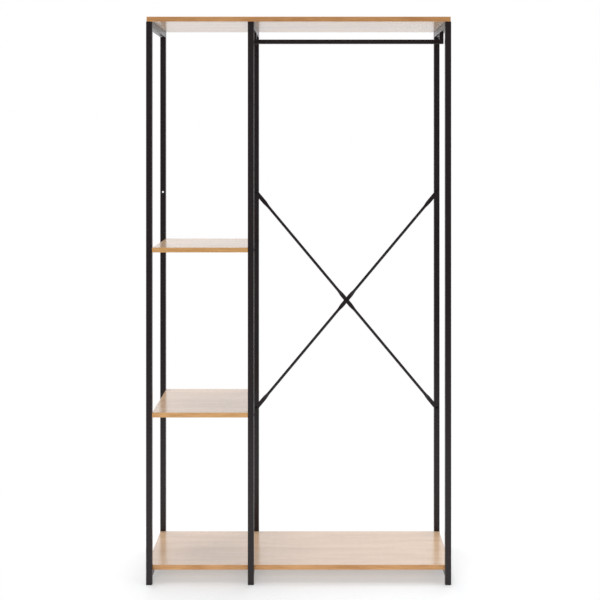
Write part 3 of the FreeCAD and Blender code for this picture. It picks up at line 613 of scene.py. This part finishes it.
def coat_finish(name, colours, seed):
    """Satin powder coat: a fine orange peel, a little thinner and browner in places."""
    finish = Finish(name)
    vector = finish.place((1, 1, 1), (seed, 0, 0))
    cloud = finish.noise(vector, scale=7, detail=3)
    speck = finish.noise(vector, scale=420)
    peel = finish.noise(vector, scale=620, roughness=0.6)
    thin_share = finish.spread(finish.sum_of((cloud, 0.7), (speck, 0.3)), 0.42, 0.75)
    even_mix = finish.sum_of((cloud, 0.5), (speck, 0.5))
    finish.set(Base_Color=finish.blend(thin_share, colours.coat, colours.coat_thin),
               Roughness=finish.spread(even_mix, 0.3, 0.7, to_low=0.24, to_high=0.34),
               Specular_IOR_Level=0.45)
    finish.bump(peel, 0.05 * MM, strength=0.5)
    return finish.material


def laminate_finish(name, colours, seed):
    """Printed oak laminate: wandering rings, lengthwise fibres, short dark pores, a low sheen.

    The tinted reflection and the lacquer over it give the pale, cool veil that lies on the boards
    in white surroundings. Ends that no band covers show the pressed chips of the core.
    """
    finish = Finish(name)
    shift = (seed * 1.7, seed * 0.61, seed)
    rings = finish.waves(finish.place((0.4, 1, 1), shift), scale=4.2, distortion=9, detail_scale=1.5)
    streaks = finish.noise(finish.place((1.1, 21, 1), shift), detail=4, roughness=0.55)
    fibres = finish.noise(finish.place((5, 330, 1), shift), detail=3, roughness=0.65)
    pores = finish.noise(finish.place((34, 1150, 1), shift), detail=1)
    cloud = finish.noise(finish.place((0.9, 9, 1), shift))
    tone = finish.sum_of((rings, 0.13), (streaks, 0.62), (cloud, 0.33), (fibres, 0.16))
    base = finish.blend(finish.spread(tone, 0.40, 0.86), colours.laminate_deep, colours.laminate_pale)
    pore_share = finish.spread(pores, 0.60, 0.72, to_high=0.55)
    print_colour = finish.blend(pore_share, base, colours.laminate_pore)
    core = finish.blend(finish.chips(finish.place((300, 210, 620), shift)),
                        colours.chip_deep, colours.chip_pale)
    end_share = finish.on_ends()
    sheen = finish.spread(fibres, 0.3, 0.7, to_low=0.20, to_high=0.28)
    finish.set(Base_Color=finish.blend(end_share, print_colour, core),
               Roughness=finish.sum_of((sheen, 1.0), (end_share, 0.6)),
               IOR=2.1,
               Specular_Tint=(0.0, 0.5, 1, 1),
               Coat_Weight=0.22,
               Coat_IOR=2.0,
               Coat_Roughness=0.15)
    finish.bump(finish.sum_of((fibres, 0.35), (pores, -0.65)), 0.05 * MM, strength=0.6)
    return finish.material


def band_finish(name, colours, seed, band_light_factor):
    """Edge band with streaks along the board, smoother and warmer than the laminate.

    The painted light and shade of the band's board is a factor on each part of the band's two colours.
    """
    finish = Finish(name)
    shift = (seed, seed * 0.7, seed * 0.3)
    streaks = finish.noise(finish.place((18, 18, 230), shift), detail=4, roughness=0.62)
    fibres = finish.noise(finish.place((16, 16, 1200), shift), roughness=0.6)
    cloud = finish.noise(finish.place((9, 9, 9), shift))
    tone = finish.sum_of((streaks, 0.62), (fibres, 0.2), (cloud, 0.28))
    # Painted light and shade: the band's two colours are darkened or lightened to suit the light on this
    # board
    deep, pale = [tuple(share * part for share, part in zip(band_light_factor, colour))
                  for colour in (colours.band_deep, colours.band_pale)]
    finish.set(Base_Color=finish.blend(finish.spread(tone, 0.42, 0.70), deep, pale),
               Roughness=finish.spread(fibres, 0.3, 0.7, to_low=0.30, to_high=0.40),
               Specular_IOR_Level=0.5)
    finish.bump(fibres, 0.04 * MM, strength=0.5)
    return finish.material


def plastic_finish(name, colour):
    """Moulded plastic with a fine spark-eroded grain."""
    finish = Finish(name)
    vector = finish.place((1, 1, 1))
    grain = finish.noise(vector, scale=1500, roughness=0.6)
    cloud = finish.noise(vector, scale=60)
    paler = tuple(1.9 * part for part in colour)
    finish.set(Base_Color=finish.blend(finish.spread(cloud, 0.4, 0.8), colour, paler),
               Roughness=finish.spread(grain, 0.3, 0.7, to_low=0.46, to_high=0.62))
    finish.bump(grain, 0.06 * MM, strength=0.6)
    return finish.material


def metal_finish(name, colour, smooth, rough):
    """Plated or blackened steel with fine tool marks and a roughness that clouds between two values."""
    finish = Finish(name)
    vector = finish.place((1, 1, 1))
    cloud = finish.noise(vector, scale=240, detail=3, roughness=0.6)
    marks = finish.noise(finish.place((1, 1, 14)), scale=600, roughness=0.6)
    darker = tuple(0.7 * part for part in colour)
    finish.set(Base_Color=finish.blend(finish.spread(cloud, 0.35, 0.7), darker, colour),
               Roughness=finish.spread(cloud, 0.3, 0.7, to_low=smooth, to_high=rough),
               Metallic=1)
    finish.bump(marks, 0.02 * MM, strength=0.5)
    return finish.material


def dress(node, material):
    """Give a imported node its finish."""
    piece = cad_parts[node]
    piece.data.materials.clear()
    piece.data.materials.append(material)


# Places read from the frame
def node_centre(node):
    """Middle of a node's box."""
    low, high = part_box(node)
    return (np.array(low) + np.array(high)) / 2


class FramePlaces:
    """Where the three ladder frames and their rows stand, and how far their cross tubes reach."""

    def __init__(self):
        self.post_x = {side: node_centre(side + "_front_post")[0] for side in SIDES}
        self.row_y = {row: node_centre("left_%s_post" % row)[1] for row in ROWS}
        low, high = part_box("left_upper_tube")
        self.tube_front = float(low[1])
        self.tube_rear = float(high[1])
        self.tube_size = float(high[0] - low[0])


def add_fasteners(name, shape, way, seats, material, node):
    """Piece of like fasteners that point one way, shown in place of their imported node."""
    add_piece(name, [pointed(shape, way, seat) for seat in seats], material, [node])


# Steps
class StandOperator(bpy.types.Operator):
    """Step of the dressing, which finds the settings of the scene."""

    bl_options = {"REGISTER", "UNDO"}

    def execute(self, context):
        """Run the step with the scene's settings."""
        scene = context.scene
        self.build(scene.stand_colours, scene.stand_details, scene.stand_stage)
        return {"FINISHED"}


class STAND_OT_frames(StandOperator):
    """Coat the posts, cross tubes, rail and braces"""

    bl_idname = "stand.frames"
    bl_label = "Coat the steel"

    def build(self, colours, details, stage):
        """One batch of coat for each frame, one for the rail and one for the braces."""
        for number, side in enumerate(SIDES):
            coat = coat_finish("powder_coat_" + side, colours, seed=number * 3.1)
            for row in ROWS:
                dress("%s_%s_post" % (side, row), coat)
            for level in LEVELS:
                dress("%s_%s_tube" % (side, level), coat)
        rail = coat_finish("powder_coat_rail", colours, seed=11.3)
        for node in ("rail_bar", "left_rail_riser", "right_rail_riser", "rail_plugs"):
            dress(node, rail)
        braces = coat_finish("powder_coat_braces", colours, seed=15.7)
        for node in ("rising_brace", "falling_brace"):
            dress(node, braces)


class STAND_OT_boards(StandOperator):
    """Lay the laminate and the edge bands on the four boards"""

    bl_idname = "stand.boards"
    bl_label = "Finish the boards"

    def build(self, colours, details, stage):
        """Each board has its own sheet of laminate and its own band, in colours that carry the board's
        painted light and shade.
        """
        # tone carries the painted light and shade of the board's band
        for number, (board, tone) in enumerate(BAND_LIGHT_BY_BOARD.items()):
            laminate = laminate_finish("laminate_" + board, colours, seed=1.0 + number * 2.3)
            band = band_finish("edge_band_" + board, colours, seed=number * 1.9, band_light_factor=tone)
            dress(board, laminate)
            dress(board + "_band", band)


class STAND_OT_feet(StandOperator):
    """Give the foot caps their moulded plastic"""

    bl_idname = "stand.feet"
    bl_label = "Finish the feet"

    def build(self, colours, details, stage):
        """All caps come from one mould."""
        plastic = plastic_finish("foot_plastic", tuple(colours.plastic))
        for side in SIDES:
            for row in ROWS:
                dress("%s_%s_foot" % (side, row), plastic)


class STAND_OT_bolts(StandOperator):
    """Make the socket bolts, nuts and inserts"""

    bl_idname = "stand.bolts"
    bl_label = "Make bolts and nuts"

    def build(self, colours, details, stage):
        """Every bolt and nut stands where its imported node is."""
        oxide = metal_finish("black_oxide", tuple(colours.oxide), smooth=0.32, rough=0.48)
        short_bolt = bolt_shape(details, details.short_bolt_length)
        self.add_shelf_bolts(details, oxide)
        self.add_rail_bolts(details, short_bolt, oxide)
        self.add_brace_ends(details, short_bolt, oxide)
        self.add_crossing(details, short_bolt, oxide)
        insert = metal_finish("insert_zinc", tuple(colours.insert), smooth=0.26, rough=0.42)
        dress("shelf_inserts", insert)

    def add_shelf_bolts(self, details, oxide):
        """Bolts seated on the inside of the wall that the shelves touch."""
        places = FramePlaces()
        inner_half = places.tube_size / 2 - details.tube_wall
        bolt = bolt_shape(details, details.shelf_bolt_length)
        shelf_z = [node_centre(level + "_shelf")[2] for level in LEVELS]
        for side, way in (("left", 1), ("middle", -1)):
            x = places.post_x[side] + way * inner_half
            seats = [(x, y, z) for y in places.row_y.values() for z in shelf_z]
            add_fasteners(side + "_shelf_socket_bolts", bolt, (way, 0, 0), seats,
                          oxide, side + "_shelf_bolts")

    def add_rail_bolts(self, details, bolt, oxide):
        """Bolts seated on the inside of the upper cross tubes' lower wall, over the risers."""
        seat_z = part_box("left_rail_riser")[1][2] + details.tube_wall
        riser_x = [node_centre(side + "_rail_riser")[0] for side in ("left", "right")]
        add_fasteners("rail_socket_bolts", bolt, (0, 0, -1), [(x, 0, seat_z) for x in riser_x],
                      oxide, "rail_bolts")

    def add_brace_ends(self, details, bolt, oxide):
        """Bolts seated on the inside of the rear posts' front wall, each with its nut."""
        low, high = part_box("brace_end_bolts")
        head = details.bolt_head_radius
        end_x = (low[0] + head, high[0] - head)
        end_z = (low[2] + head, high[2] - head)
        seat_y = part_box("left_rear_post")[0][1] + details.tube_wall
        nut_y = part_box("brace_end_nuts")[1][1]
        way = (0, -1, 0)
        add_fasteners("brace_end_socket_bolts", bolt, way, [(x, seat_y, z) for x in end_x for z in end_z],
                      oxide, "brace_end_bolts")
        add_fasteners("brace_end_hexagon_nuts", nut_shape(details), way,
                      [(x, nut_y, z) for x in end_x for z in end_z],
                      oxide, "brace_end_nuts")

    def add_crossing(self, details, bolt, oxide):
        """Bolt and nut that hold the braces together where they cross."""
        centre = node_centre("brace_centre_bolt")
        seat_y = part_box("brace_centre_bolt")[0][1] + details.bolt_head_height
        nut_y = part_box("brace_centre_nut")[0][1]
        way = (0, 1, 0)
        add_fasteners("brace_centre_socket_bolt", bolt, way, [(centre[0], seat_y, centre[2])],
                      oxide, "brace_centre_bolt")
        add_fasteners("brace_centre_hexagon_nut", nut_shape(details), way,
                      [(centre[0], nut_y, centre[2])], oxide, "brace_centre_nut")


class STAND_OT_screws(StandOperator):
    """Make the screws that hold the boards from below"""

    bl_idname = "stand.screws"
    bl_label = "Make board screws"

    def build(self, colours, details, stage):
        """Two screws stand in each cross tube, their heads under it."""
        zinc = metal_finish("zinc_plate", tuple(colours.zinc), smooth=0.22, rough=0.40)
        screw = screw_shape(details)
        post_x = FramePlaces().post_x
        for board in ("top", "bottom"):
            node = board + "_board_screws"
            low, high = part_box(node)
            reach = high[1] - details.screw_head_radius
            seat_z = low[2] + details.screw_head_height
            seats = [(x, y, seat_z) for x in post_x.values() for y in (-reach, reach)]
            add_fasteners(board + "_board_pan_screws", screw, (0, 0, 1), seats,
                          zinc, node)


class STAND_OT_welds(StandOperator):
    """Lay the weld beads of the frames and of the rail"""

    bl_idname = "stand.welds"
    bl_label = "Lay the welds"

    def build(self, colours, details, stage):
        """Every frame and the rail has its own piece of beads, coated as its steel."""
        places = FramePlaces()
        for side in SIDES:
            beads = []
            for level in LEVELS:
                beads += self.tube_beads(details, places, "%s_%s_tube" % (side, level))
            add_piece(side + "_frame_welds", beads, bpy.data.materials["powder_coat_" + side])
        add_piece("rail_welds", self.rail_beads(details), bpy.data.materials["powder_coat_rail"])

    def tube_beads(self, details, places, node):
        """At each end of a cross tube two seams run up its sides and a fillet lies below it."""
        low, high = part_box(node)
        inset = details.frame_bead_inset
        beads = []
        for y, inward in ((places.tube_front, 1), (places.tube_rear, -1)):
            for x, out in ((low[0], -1), (high[0], 1)):
                beads.append(seam(details, (x, y, low[2] + inset), (x, y, high[2] - inset),
                                  (out, 0, 0)))
            beads.append(fillet(details, (low[0] + inset, y, low[2]), (high[0] - inset, y, low[2]),
                                (0, inward, -1)))
        return beads

    def rail_beads(self, details):
        """At each end of the rail two seams run up the mitre and a fillet lies in the corner."""
        low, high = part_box("rail_bar")
        size = high[2] - low[2]
        inset = details.rail_bead_inset
        beads = []
        for x, inward in ((low[0], 1), (high[0], -1)):
            for y, out in ((low[1], -1), (high[1], 1)):
                start = (x + inward * inset, y, low[2] + inset)
                end = (x + inward * (size - inset), y, high[2] - inset)
                beads.append(seam(details, start, end, (0, out, 0), share=0.7))
            corner_x = x + inward * size
            start = (corner_x, low[1] + inset, high[2])
            end = (corner_x, high[1] - inset, high[2])
            beads.append(fillet(details, start, end, (inward, 0, 1), share=0.8))
        return beads


# Stage
def add_panel_lamp(name, place, target, size, power):
    """Square area lamp that looks at a point and isn't itself reflected."""
    lamp = bpy.data.lights.new(name, "AREA")
    lamp.shape = "SQUARE"
    lamp.size = size
    lamp.energy = power
    holder = bpy.data.objects.new(name, lamp)
    bpy.context.scene.collection.objects.link(holder)
    holder.location = place
    direction = Vector(target) - Vector(place)
    holder.rotation_euler = direction.to_track_quat("-Z", "Y").to_euler()
    holder.visible_glossy = False


def smooth_range(nodes, low, high, to_low):
    """Range node that eases from a level at the low value to 1 at the high value."""
    node = nodes.new("ShaderNodeMapRange")
    node.interpolation_type = "SMOOTHSTEP"
    node.inputs["From Min"].default_value = low
    node.inputs["From Max"].default_value = high
    node.inputs["To Min"].default_value = to_low
    node.inputs["To Max"].default_value = 1
    return node


def light_world(room_level):
    """World that is plain white to the camera, and elsewhere a white backdrop behind the stand.

    Other rays see white where they head to the back (+Y) and a dim room where they head to the front.
    """
    world = bpy.data.worlds.new("studio")
    bpy.context.scene.world = world
    world.use_nodes = True
    nodes, links = world.node_tree.nodes, world.node_tree.links
    nodes.clear()
    heading = nodes.new("ShaderNodeSeparateXYZ")
    links.new(nodes.new("ShaderNodeTexCoord").outputs["Generated"], heading.inputs[0])
    level = smooth_range(nodes, ROOM_HEADING, BACKDROP_HEADING, room_level)
    links.new(heading.outputs["Y"], level.inputs["Value"])
    path = nodes.new("ShaderNodeLightPath")
    strength = level.outputs["Result"]
    for kind_of_ray in ("Is Camera Ray", "Is Transmission Ray"):
        step = nodes.new("ShaderNodeMath")
        step.operation = "MAXIMUM"
        links.new(strength, step.inputs[0])
        links.new(path.outputs[kind_of_ray], step.inputs[1])
        strength = step.outputs[0]
    background = nodes.new("ShaderNodeBackground")
    background.inputs["Color"].default_value = (1, 1, 1, 1)
    links.new(strength, background.inputs["Strength"])
    output = nodes.new("ShaderNodeOutputWorld")
    links.new(background.outputs[0], output.inputs["Surface"])


def floor_finish(colour, glow, reach, footprint):
    """Matt white floor that takes the shadow and turns plain white away from the footprint.

    The way to the footprint is the length of the part of the place, without its signs, that goes
    past the footprint's half sizes.
    """
    material = bpy.data.materials.new("pale_floor")
    material.use_nodes = True
    nodes, links = material.node_tree.nodes, material.node_tree.links
    matt = nodes["Principled BSDF"]
    matt.inputs["Base Color"].default_value = with_alpha(colour)
    matt.inputs["Roughness"].default_value = 0.6
    matt.inputs["Specular IOR Level"].default_value = 0.2
    last = nodes.new("ShaderNodeTexCoord").outputs["Object"]
    for operation, other in (("ABSOLUTE", None), ("SUBTRACT", footprint), ("MAXIMUM", (0, 0, 0)),
                             ("LENGTH", None)):
        step = nodes.new("ShaderNodeVectorMath")
        step.operation = operation
        links.new(last, step.inputs[0])
        if other:
            step.inputs[1].default_value = other
        last = step.outputs["Value" if operation == "LENGTH" else "Vector"]
    share = smooth_range(nodes, 0, reach, glow)
    links.new(last, share.inputs["Value"])
    white = nodes.new("ShaderNodeEmission")
    white.inputs["Strength"].default_value = 1
    mixed = nodes.new("ShaderNodeMixShader")
    links.new(share.outputs["Result"], mixed.inputs[0])
    links.new(matt.outputs[0], mixed.inputs[1])
    links.new(white.outputs[0], mixed.inputs[2])
    links.new(mixed.outputs[0], nodes["Material Output"].inputs["Surface"])
    return material


class STAND_OT_stage(StandOperator):
    """Set up the floor, the lamps, the world and the camera"""

    bl_idname = "stand.stage"
    bl_label = "Set the stage"

    def build(self, colours, details, stage):
        """The overhead panel shines straight down, the front panel at the middle of the stand."""
        self.add_floor(tuple(colours.floor), stage)
        light_world(stage.room_level)
        below_panel = (stage.top_place[0], stage.top_place[1], 0)
        add_panel_lamp("overhead_panel", stage.top_place, below_panel, stage.top_size, stage.top_power)
        add_panel_lamp("front_panel", stage.front_place, stage.front_target, stage.front_size,
                       stage.front_power)
        self.add_camera(stage)
        bpy.context.scene.view_settings.view_transform = "Standard"

    def add_floor(self, colour, stage):
        """Square floor about the stand, which whitens with the way from the stand's footprint."""
        half = stage.floor_half
        mesh = bpy.data.meshes.new("floor")
        corners = [(-half, -half, 0), (half, -half, 0), (half, half, 0), (-half, half, 0)]
        mesh.from_pydata(corners, [], [(0, 1, 2, 3)])
        footprint = (float(STAND_HIGH[0]), float(STAND_HIGH[1]) + stage.floor_margin, 0)
        mesh.materials.append(
            floor_finish(colour, stage.floor_glow, stage.floor_shade_reach, footprint))
        floor = bpy.data.objects.new("floor", mesh)
        bpy.context.scene.collection.objects.link(floor)

    def add_camera(self, stage):
        """Level camera that looks along +Y, with its lens shifted as the photograph's."""
        camera = bpy.data.cameras.new("camera")
        camera.sensor_width = SENSOR_WIDTH
        camera.lens = stage.focal_pixels / PHOTO_SIZE * SENSOR_WIDTH
        camera.shift_x = (PHOTO_SIZE / 2 - stage.axis_pixel_x) / PHOTO_SIZE
        camera.shift_y = (stage.axis_pixel_y - PHOTO_SIZE / 2) / PHOTO_SIZE
        camera.clip_end = 100
        holder = bpy.data.objects.new("camera", camera)
        bpy.context.scene.collection.objects.link(holder)
        holder.location = (stage.camera_x, stage.camera_y, stage.camera_height)
        holder.rotation_euler = (math.pi / 2, 0, 0)
        bpy.context.scene.camera = holder


STEPS = (STAND_OT_frames, STAND_OT_boards, STAND_OT_feet, STAND_OT_bolts, STAND_OT_screws,
         STAND_OT_welds, STAND_OT_stage)


class STAND_PT_panel(bpy.types.Panel):
    """Sidebar panel that lists the steps and the settings"""

    bl_label = "Coat stand"
    bl_idname = "STAND_PT_panel"
    bl_space_type = "VIEW_3D"
    bl_region_type = "UI"
    bl_category = "Coat stand"

    def draw(self, context):
        """A button for each step, then every setting."""
        for step in STEPS:
            self.layout.operator(step.bl_idname)
        for group in ("stand_colours", "stand_details", "stand_stage"):
            settings = getattr(context.scene, group)
            box = self.layout.box()
            for name in settings.bl_rna.properties.keys():
                if name not in ("rna_type", "name"):
                    box.prop(settings, name)


CLASSES = (StandColours, StandDetails, StandStage, *STEPS, STAND_PT_panel)


def register():
    """Add the classes and the scene's settings."""
    for kind in CLASSES:
        bpy.utils.register_class(kind)
    bpy.types.Scene.stand_colours = bpy.props.PointerProperty(type=StandColours)
    bpy.types.Scene.stand_details = bpy.props.PointerProperty(type=StandDetails)
    bpy.types.Scene.stand_stage = bpy.props.PointerProperty(type=StandStage)


def unregister():
    """Take the settings and the classes away again."""
    del bpy.types.Scene.stand_stage
    del bpy.types.Scene.stand_details
    del bpy.types.Scene.stand_colours
    for kind in reversed(CLASSES):
        bpy.utils.unregister_class(kind)


def main():
    """Dress the stand step by step."""
    register()
    for step in STEPS:
        group, name = step.bl_idname.split(".")
        getattr(getattr(bpy.ops, group), name)()


if __name__ == "__main__":
    main()
